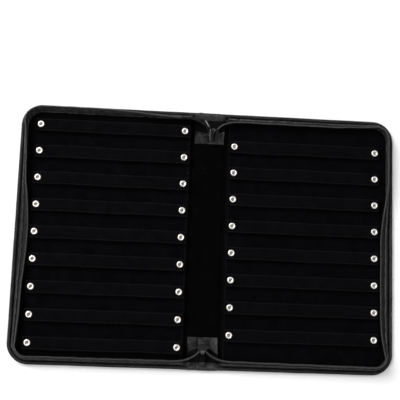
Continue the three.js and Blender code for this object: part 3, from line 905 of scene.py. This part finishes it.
for strap in straps:
    length = abs(strap.ends[1] - strap.ends[0])
    near = [0, 0.12, 0.35, 0.7, 1.1, 1.5, 2.0]
    inside = steps_between(3.5, length - 3.5, 54)
    strap_loops = []
    lines = ([], [])
    for d in near + inside + [length - a for a in reversed(near)]:
        x = strap.ends[0] + strap.side * d
        from_end = min(d, length - d)
        cut = max(0, strap_corner - from_end)
        reach = strap.half_width - strap_corner + math.sqrt(strap_corner**2 - cut**2)
        round_off = math.sqrt(1 - max(0, 1 - (from_end + 0.06) / end_rounding) ** 2)
        drift, rise = strap_wave(strap, x)
        loop = []
        for across, up in strap_section:
            fray = 0.12 * wave(x, across * 8, strap.row * 5.1, 4) * abs(across) ** 3
            z = strap.bottom + strap_thick * (0.5 + (up - 0.5) * round_off) + rise
            loop.append((x, strap.middle_y + drift + across * reach + fray, z))
        strap_loops.append(loop)
        if from_end >= seam_from_end:
            for line, across in zip(lines, (-seam_across, seam_across)):
                z = strap.bottom + strap_thick * seam_up + rise
                line.append(((x, strap.middle_y + drift + across * reach, z), (0, 0, 1)))
    velvet = sweep(f"{strap.name}_velvet", strap_loops, strap_velvet)
    seam = row_on_paths(f"{strap.name}_stitches", lines, fine_pitch, fine_stitch, stitch_shape, fine_thread)
    for piece in (velvet, seam):
        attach(piece, strap.name)
    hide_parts(strap.name)

# Press snaps: nickel-plated brass. On each strap end a dished cap with a rolled rim sits over
# a socket; on the panel below stands the post that it presses on.
nickel_finish, nickel_tree, nickel_shader = new_finish("bright_nickel", {"Metallic": 1.0})
nickel_wear = speckle(nickel_tree, object_place(nickel_tree), 1.5, 4.0)
nickel_shine = tones(nickel_tree, nickel_wear, (0.66, 0.64, 0.61), (0.84, 0.82, 0.79))
# The middle of each snap, within about a millimetre of its axis, is painted dark brownish grey: painted shade
# in the cap's recess.
nickel_inputs = {"Vector": surface_map(nickel_tree)}
nickel_radius = node(nickel_tree, "ShaderNodeSeparateXYZ", nickel_inputs).outputs["X"]
nickel_inputs = {"Value": nickel_radius, "From Min": 0.6 * mm, "From Max": 1.3 * mm}
nickel_recess_shade = node(nickel_tree, "ShaderNodeMapRange", nickel_inputs).outputs["Result"]
nickel_inputs = {0: nickel_recess_shade, 6: (0.13, 0.115, 0.1, 1), 7: nickel_shine}
nickel_shades = node(nickel_tree, "ShaderNodeMix", nickel_inputs, data_type="RGBA").outputs[2]
nickel_tree.links.new(nickel_shades, nickel_shader.inputs["Base Color"])
nickel_tree.links.new(spread(nickel_tree, nickel_wear, 0.34, 0.46), nickel_shader.inputs["Roughness"])
emboss(nickel_tree, nickel_shader, ((nickel_wear, 0.01),))
cap_profile = [(0, 0.75), (0.3, 0.72), (0.5, 0.5), (0.8, 0.44), (1.0, 0.6), (1.2, 0.98), (1.45, 1.28)]
cap_profile += [(1.8, 1.42), (2.2, 1.46), (2.55, 1.34), (2.85, 1.02), (3.02, 0.6), (3.08, 0.12)]
cap_profile += [(2.9, -0.1), (0, -0.1)]
socket_profile = [(0, 0.1), (2.4, 0.1), (2.5, -0.1), (2.5, -1.2), (2.35, -1.4), (1.75, -1.4)]
socket_profile += [(1.6, -1.25), (1.6, -0.15), (0, -0.15)]
post_profile = [(0, 1.1), (0.5, 1.08), (1.0, 0.92), (1.28, 0.7), (1.15, 0.45), (1.05, 0.3), (1.1, 0.12)]
post_profile += [(2.3, 0.08), (2.35, -0.05), (0, -0.05)]
snap_parts = ((cap_profile, strap_thick), (socket_profile, 0))


def turned(profile, segments):
    """A lathe-turned shape about Z from (radius, z) pairs that start and end on the axis"""
    points = [(0, 0, profile[0][1])]
    for radius, z in profile[1:-1]:
        points += [(radius * math.cos(a), radius * math.sin(a), z) for a in full_turn(segments)]
    points.append((0, 0, profile[-1][1]))
    faces = []
    rings = len(profile) - 2
    for k in range(segments):
        n = (k + 1) % segments
        faces.append((0, 1 + k, 1 + n))
        for i in range(rings - 1):
            a = 1 + i * segments
            faces.append((a + k, a + segments + k, a + segments + n, a + n))
        a = 1 + (rings - 1) * segments
        faces.append((a + k, len(points) - 1, a + n))
    return points, faces


def at_places(name, parts, places, finish):
    """Sets one turned shape at each place, by instances that Geometry Nodes make real. parts
    holds the shape's profiles with the height that each is lifted by"""
    points = []
    faces = []
    for profile, lift in parts:
        ring, sides_of_ring = turned(profile, 28)
        faces += [tuple(len(points) + k for k in face) for face in sides_of_ring]
        points += [(x, y, z + lift) for x, y, z in ring]
    spots = [(math.hypot(points[k][0], points[k][1]), 0) for face in faces for k in face]
    model = make_piece(f"{name}_model", points, faces, finish, spots)
    mesh = bpy.data.meshes.new(name)
    mesh.from_pydata([Vector(place) * mm for place in places], [], [])
    snaps = put(bpy.data.objects.new(name, mesh))

    tree = bpy.data.node_groups.new(name, "GeometryNodeTree")
    sockets = tree.interface
    sockets.new_socket(name="Snaps", in_out="OUTPUT", socket_type="NodeSocketGeometry")
    sockets.new_socket(name="Places", in_out="INPUT", socket_type="NodeSocketGeometry")
    shape_socket = sockets.new_socket(name="Shape", in_out="INPUT", socket_type="NodeSocketObject")
    finish_socket = sockets.new_socket(name="Finish", in_out="INPUT", socket_type="NodeSocketMaterial")
    given = tree.nodes.new("NodeGroupInput").outputs
    shape = node(tree, "GeometryNodeObjectInfo", {"Object": given["Shape"]}).outputs["Geometry"]
    inputs = {"Points": given["Places"], "Instance": shape}
    placed = node(tree, "GeometryNodeInstanceOnPoints", inputs).outputs["Instances"]
    whole = node(tree, "GeometryNodeRealizeInstances", {"Geometry": placed}).outputs["Geometry"]
    finished = node(tree, "GeometryNodeSetMaterial", {"Geometry": whole, "Material": given["Finish"]})
    tree.links.new(finished.outputs["Geometry"], tree.nodes.new("NodeGroupOutput").inputs["Snaps"])

    made_plain(snaps, tree, ((shape_socket, model), (finish_socket, finish)))
    bpy.data.objects.remove(model)
    return snaps


for strap in straps:
    places = [(stud, strap.middle_y, strap.bottom) for stud in strap.studs]
    snaps = at_places(f"{strap.name}_snaps", snap_parts, places, nickel_finish)
    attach(snaps, strap.name)
for side, half in sides:
    carried = [strap for strap in straps if strap.half == half]
    places = [(stud, strap.middle_y, panel_top) for strap in carried for stud in strap.studs]
    posts = at_places(f"{half}_snap_posts", ((post_profile, 0),), places, nickel_finish)
    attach(posts, f"{half}_half")

# Spine velvet: a strip of the same velvet glued along the spine between the gussets, painted
# darker than the panels' velvet as painted shade. It dips into the two folds and runs in under
# the edges of the panels.
spine_velvet = velvet_finish("spine_velvet", (0.0007, 0.0007, 0.0009), (0.0021, 0.0021, 0.0024), 0.004)
strip_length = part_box("spine_lining")[1].y / mm
strip_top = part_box("spine_lining")[1].z / mm
strip_reach = 15.5
strip_dip_x = 12.6
strip_dip_run = 0.42
strip_thick = 0.72
strip_floor = 1.25
fold_velvet_end = 104


def strip_piece(name, side, ends, columns):
    """A stretch of the spine's velvet between two ends, over the given columns of x"""
    low_y, high_y = ends
    near = (0, 0.15, 0.5, 1)
    rows = [high_y - a for a in near] + steps_between(high_y - 3, low_y + 3, 54)
    rows += [low_y + a for a in reversed(near)]
    loops = []
    for y in rows:
        thin = 0.25 * max(0, 1 - min(high_y - y, y - low_y) / 0.6) ** 2
        top = []
        low = []
        for x in columns:
            sink = 1 / (1 + math.exp(-(x - strip_dip_x) / strip_dip_run))
            z = strip_top - sink + 0.35 * max(0, x - 14) / 1.5 + 0.08 * wave(x * side, y, 7, 12)
            top.append((side * x, y, z - thin))
            low.append((side * x, y, max(strip_floor, z - strip_thick + thin)))
        loops.append(top + low[::-1])
    strip = sweep(name, loops, spine_velvet)
    bend_at_fold(strip)
    return strip


for side, half in sides:
    columns = [0, 2, 4, 6, 8, 9.5, *steps_between(10.5, strip_reach, 14)]
    strip = strip_piece(f"{half}_spine_velvet", side, (-strip_length, strip_length), columns)
    if side < 0:
        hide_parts("spine_lining")
    fold_ends = {"top": (strip_length, fold_velvet_end), "bottom": (-fold_velvet_end, -strip_length)}
    for end_name, ends in fold_ends.items():
        strip_piece(f"{half}_fold_velvet_{end_name}", side, ends, steps_between(12.5, strip_reach, 10))

# Zip sliders: black-lacquered castings, one at each end of the spine, with a pull hung on an
# arch below. Copies of the CAD bodies, with their edges rounded as the castings have. Light is
# painted on their lacquer: each is painted lighter towards one side or end, as painted
# highlights on its lit side, and the bottom pull is painted darker than the top one, as painted shade.
sliders = {
    "top": {"end": 1, "nose_x": 4, "from_end": 15.5, "tilt": 20, "yaw": -6, "roll": 50},
    "bottom": {"end": -1, "nose_x": 0, "from_end": 14, "tilt": 20, "yaw": 0, "roll": 0},
}
nose_height = 12.4
slider_length = 10.5
plate_top = 2.2
casting_round = 0.2
smooth_area = 0.6


def slider_frame(rest):
    """The slider's place and turn at rest: X to its nose, Z to its plate"""
    tilt, yaw, roll = (math.radians(rest[turn]) for turn in ("tilt", "yaw", "roll"))
    ahead = rest["end"] * math.cos(yaw)
    outward = Vector((-math.sin(yaw) * math.cos(tilt), ahead * math.cos(tilt), math.sin(tilt)))
    across = Vector((0, 0, 1)).cross(outward).normalized()
    turn = Matrix((outward, across, outward.cross(across))).transposed() @ Matrix.Rotation(roll, 3, "X")
    place = Vector((rest["nose_x"], rest["end"] * (half_length - rest["from_end"]), nose_height))
    return Matrix.Translation(place - outward * slider_length / 2) @ turn.to_4x4()


def lit_side_finish(name, casting, way, depth, lit_tone, body_tone, gloss):
    """Lacquer painted lighter on one side of a casting as painted light, to a depth from its end along way"""
    finish, tree, shader = new_finish(name, {"Roughness": 0.45, "Specular IOR Level": gloss})
    place = object_place(tree)
    end = max(vertex.co.dot(way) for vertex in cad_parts[casting].data.vertices)
    inputs = {0: place, 1: way}
    along = node(tree, "ShaderNodeVectorMath", inputs, operation="DOT_PRODUCT").outputs["Value"]
    inputs = {"Value": along, "From Min": end - (depth + 0.5) * mm, "From Max": end - depth * mm}
    mask = node(tree, "ShaderNodeMapRange", inputs).outputs["Result"]
    tree.links.new(tones(tree, mask, body_tone, lit_tone), shader.inputs["Base Color"])
    emboss(tree, shader, ((speckle(tree, place, 1.2, 4.0), 0.03),))
    return finish


top_way = slider_frame(sliders["top"]).to_3x3()
bottom_way = slider_frame(sliders["bottom"]).to_3x3()
to_edge = top_way @ Vector((0, -1, 0))
to_heel = top_way @ Vector((0, 0, -1))
to_nose = bottom_way @ Vector((1, 0, 0))
to_tip = Vector((0, -1, 0))
# Each casting is painted lighter towards one side or end, as painted highlights on its lit side; the bottom
# pull is painted darker than the top, as painted shade.
worn_plate = lit_side_finish("worn_plate", "slider_top", to_edge, depth=5.4, lit_tone=0.03, body_tone=0.005, gloss=0.12)
worn_heel = lit_side_finish("worn_heel", "slider_top", to_heel, depth=5.0, lit_tone=0.055, body_tone=0.012, gloss=0.2)
worn_pull = lit_side_finish("worn_pull", "pull_top", to_edge, depth=1.6, lit_tone=0.34, body_tone=0.006, gloss=0.12)
worn_tip = lit_side_finish("worn_tip", "pull_bottom", to_tip, depth=2.6, lit_tone=0.026, body_tone=0.003, gloss=0.015)
worn_nose = lit_side_finish("worn_nose", "slider_bottom", to_nose, depth=1.5, lit_tone=0.06, body_tone=0.01, gloss=0.12)
castings = {
    "slider_top": (worn_plate, worn_heel),
    "slider_bottom": (worn_nose, worn_nose),
    "pull_top": (worn_pull, worn_pull),
    "pull_bottom": (worn_tip, worn_tip),
}
for name, (plate_finish, body_finish) in castings.items():
    to_slider = slider_frame(sliders[name.split("_")[1]]).inverted()
    shape = bmesh.new()
    shape.from_mesh(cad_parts[name].data)
    bmesh.ops.remove_doubles(shape, verts=shape.verts, dist=0.002 * mm)
    bmesh.ops.dissolve_limit(shape, angle_limit=math.radians(2), verts=shape.verts, edges=shape.edges)
    sharp = [edge for edge in shape.edges if edge.is_manifold and edge.calc_face_angle() > math.radians(25)]
    rounding = {"offset": casting_round * mm, "segments": 3, "profile": 0.5, "clamp_overlap": True}
    bmesh.ops.bevel(shape, geom=sharp, affect="EDGES", **rounding)
    for face in shape.faces:
        face.material_index = int((to_slider @ (face.calc_center_median() / mm)).z < plate_top - 0.1)
        face.smooth = face.calc_area() < smooth_area * mm * mm
    mesh = bpy.data.meshes.new(f"{name}_casting")
    shape.to_mesh(mesh)
    shape.free()
    mesh.materials.append(plate_finish)
    mesh.materials.append(body_finish)
    casting = put(bpy.data.objects.new(f"{name}_casting", mesh))
    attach(casting, name)
    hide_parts(name)

# Free zip ends: at each end of the spine the two coils leave the walls with a strip of tape
# and run together into the slider's mouth. The left one at the top is painted darker and less
# glossy than the others, as painted shade.
tail_bend = 0.75
tail_steps = 26
tail_shares = (0.05, 0.2, 0.32, 0.42, 0.5, 0.6, 0.75, 0.9, 1.0)
slider_mouth = (3.456, 2.923)


def tail_line(end_name, side, half, count):
    """The free coil's middle line, from the wall's coil to the slider"""
    rest = sliders[end_name]
    end = rest["end"]
    station = (side * zip_start, end * half_length, 0, -end, 0 if end > 0 else 8)
    start = Vector(rim_point(half, station, coil_s, tape_offset))
    foot = Vector(rim_point(half, station, tape_foot, tape_offset))
    goal = slider_frame(rest) @ Vector((slider_mouth[0], -end * side * slider_mouth[1], 0))
    bend = Vector((side * fold_x * tail_bend, start.y, (start.z + goal.z) / 2))
    mouth_drop = Vector((0, end * 1.2, -3.4))
    line = []
    for t in steps_between(0, 1, count):
        point = start * (1 - t) ** 2 + bend * 2 * t * (1 - t) + goal * t**2
        line.append((point, (foot - start).lerp(mouth_drop, t)))
    return line


# A darker, less glossy copy of the coil's nylon: painted shade on the left free coil at the top.
dull_coil = nylon_finish("dull_coil", low=0.004, high=0.014, gloss=0.14)
for end_name in sliders:
    for side, half in sides:
        nylon = dull_coil if (end_name, half) == ("top", "left") else coil_finish
        line = tail_line(end_name, side, half, tail_steps)
        path = [(point, -drop.normalized()) for point, drop in line]
        name = f"{half}_tail_loops_{end_name}"
        loops = row_on_paths(name, (path,), coil_pitch, coil_loop, coil_shape, nylon)
        middle = [point for point, _ in line]
        core = sweep(f"{half}_tail_core_{end_name}", core_loops(middle), nylon)
        ribbon_loops = []
        for i, (point, drop) in enumerate(line):
            flat = way_along(middle, i).cross(drop).normalized()
            outer = []
            inner = []
            for share in tail_shares:
                ridge = tape_half + tape_ridge(coil_s - share * (coil_s - tape_foot))
                spot = point + drop * share
                outer.append(tuple(spot + flat * ridge))
                inner.append(tuple(spot - flat * ridge))
            ribbon_loops.append(outer + inner[::-1])
        ribbon = sweep(f"{half}_tail_tape_{end_name}", ribbon_loops, tape_finish)
        for piece in (loops, core, ribbon):
            bend_at_fold(piece)
        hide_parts(f"zip_tail_{end_name}_{half}")

# Gussets: a soft piece of thin leather across each end of the spine, glued down along its
# front edge, lifted under the free coils and sunk and creased below the slider. The leather
# is made only as far as the edge of the light; beyond it, up under the free coils and down
# the back slope into the pit, a sheet of very dark cloth stands in as painted shade.
gusset_reach = 12.6
gusset_foot = 83.0
gusset_painted_shade = 106.2
gusset_foot_z = 2.35
gusset_sag = 4.4
gusset_pinch = {"top": (-1.3, 88.6, 3.6), "bottom": (4.5, 87.5, 0.8)}
gusset_lit = {"top": (8.5, 0.15), "bottom": (6.0, 0.58)}
gusset_thick = 0.7
pit_thick = 0.4
# The one gusset leather is painted lighter on the right half than on the left: painted light and shade.
gusset_lit_and_shaded = {
    half: leather_finish(f"gusset_{half}_leather", dark, light, matt=0.5, crease=0.9, gloss=0.12, blotch=4)
    for half, dark, light in (("left", 0.002, 0.021), ("right", 0.005, 0.058))
}
# Very dark velvet that stands in for the shade on the gusset's far part and back slope: painted shade.
pit_cloth = velvet_finish("pit_cloth", (0.0025, 0.0025, 0.0028), (0.006, 0.006, 0.0065), 0.006)


def gusset_spot(end_name, x, ridge, t):
    """The y and z of the leather's face at x, with t from its front edge to its ridge"""
    rest = sliders[end_name]
    ridge_y, ridge_z = ridge
    y = gusset_foot + (ridge_y - gusset_foot) * t
    z = gusset_foot_z + (ridge_z - gusset_foot_z) * (t * t * (1.9 - 0.9 * t))
    apex_y = half_length - rest["from_end"]
    turn = math.atan2(x - rest["nose_x"], apex_y + 2 - y)
    fan = math.sin(6.5 * turn + 0.6 * rest["end"]) * 0.6 + wave(x, y, 3 * rest["end"], 4.0) * 0.9
    pinch_x, pinch_y, pinch_rise = gusset_pinch[end_name]
    pinch = hump(x, pinch_x, 1.2) * hump(y, pinch_y, 3.2)
    top = z + math.sin(math.pi * t) * fan + pinch_rise * pinch * min(1, 6 * t)
    return y, max(top, gusset_foot_z - 0.1)


for end_name, rest in sliders.items():
    end = rest["end"]
    lit_depth, lit_slope = gusset_lit[end_name]
    for side, half in sides:
        line = [point for point, _ in tail_line(end_name, side, half, 60)]
        gusset_loops = []
        pit_loops = []
        for x in steps_between(0, gusset_reach, 26):
            on_side = side * x
            over = min(line, key=lambda point: abs(point.x - on_side))
            share = x / gusset_reach
            ridge_y = abs(over.y)
            ridge_z = gusset_sag + (over.z - 1.6 - gusset_sag) * share**3
            # edge_y is the edge of the light on the leather; past it the painted-shade cloth is made instead.
            edge_y = gusset_foot + lit_depth + lit_slope * x + 0.5 * wave(on_side, 0, 0, 5)
            lit = min(1, (edge_y - gusset_foot) / (ridge_y - gusset_foot))
            ridge = (ridge_y, ridge_z)
            front = [gusset_spot(end_name, on_side, ridge, t) for t in steps_between(0, lit, 22)]
            outer = [(on_side, end * y, z) for y, z in front]
            inner = [(on_side, end * y, max(z - gusset_thick, gusset_foot_z - 0.3)) for y, z in front]
            gusset_loops.append(outer + inner[::-1])
            behind = [gusset_spot(end_name, on_side, ridge, t) for t in steps_between(lit * 0.94, 1, 10)]
            back = [(ridge_y + 0.4, ridge_z - 0.9), (ridge_y + 1.2, 3.0), (gusset_painted_shade, 2.3)]
            back_line = [(y, z - 0.25) for y, z in behind]
            back_line += [tuple(spot) for spot in smooth_line([(ridge_y + 0.1, ridge_z - 0.4), *back], 4)]
            pit_top = [(on_side, end * y, max(2.15, z)) for y, z in back_line]
            pit_low = [(on_side, end * (y - 0.15), max(2.05, z - pit_thick)) for y, z in back_line]
            pit_loops.append(pit_top + pit_low[::-1])
        gusset = sweep(f"{half}_gusset_{end_name}", gusset_loops, gusset_lit_and_shaded[half])
        pit = sweep(f"{half}_gusset_back_{end_name}", pit_loops, pit_cloth)
        for piece in (gusset, pit):
            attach(piece, "spine")
            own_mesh(piece)
        if side < 0:
            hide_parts(f"gusset_{end_name}")

# Zip stops: behind each slider the closed end of the zip is bound off under a tab of worn
# leather that runs down to the front of the gusset. At the bottom the tab laps over the slider.
stop_tabs = {
    "top": {"start": (-2.0, 0), "start_share": 0.4, "wide": 1.4, "foot_wide": 1.2, "foot_x": 2.0},
    "bottom": {"start": (-1.6, 3.0), "start_share": 0.9, "wide": 4.2, "foot_wide": 3.6, "foot_x": 0.0},
}
stop_lift = 0.4
stop_half = 0.55
stop_leather = leather_finish(
    "stop_leather", dark=0.003, light=0.032, matt=0.5, crease=0.9, gloss=0.12, blotch=4
)
for end_name, rest in sliders.items():
    end = rest["end"]
    tab = stop_tabs[end_name]
    slider_place = slider_frame(rest)
    start_x, start_z = tab["start"]
    inside = slider_place @ Vector((start_x, 0, start_z))
    rear = slider_place @ Vector((-slider_length / 2 - 0.9, 0, start_z))
    foot = Vector((tab["foot_x"], end * (gusset_foot + 1.2), 4.0))
    middle = rear.lerp(foot, 0.5) + Vector((0, 0, stop_lift))
    middle.x = rear.x + (foot.x - rear.x) * 0.85
    stop_line = smooth_line([inside, rear, middle, foot], 8)
    stop_loops = []
    for i, point in enumerate(stop_line):
        share = i / (len(stop_line) - 1)
        across, up = across_and_up(stop_line, i)
        opened = min(1, tab["start_share"] + 3 * share)
        wide = tab["wide"] * opened * (1 - share) + tab["foot_wide"] * share
        loop = []
        for a in full_turn(18):
            crease = 0.15 * wave(wide * math.cos(a), i, 5 * end, 1.8)
            side_way = across * wide * math.cos(a)
            loop.append(tuple(point + side_way + up * (stop_half * math.sin(a) + crease * abs(math.sin(a)))))
        stop_loops.append(loop)
    stop = sweep(f"zip_stop_{end_name}", stop_loops, stop_leather)
    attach(stop, "spine")
    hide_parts(f"zip_end_{end_name}")
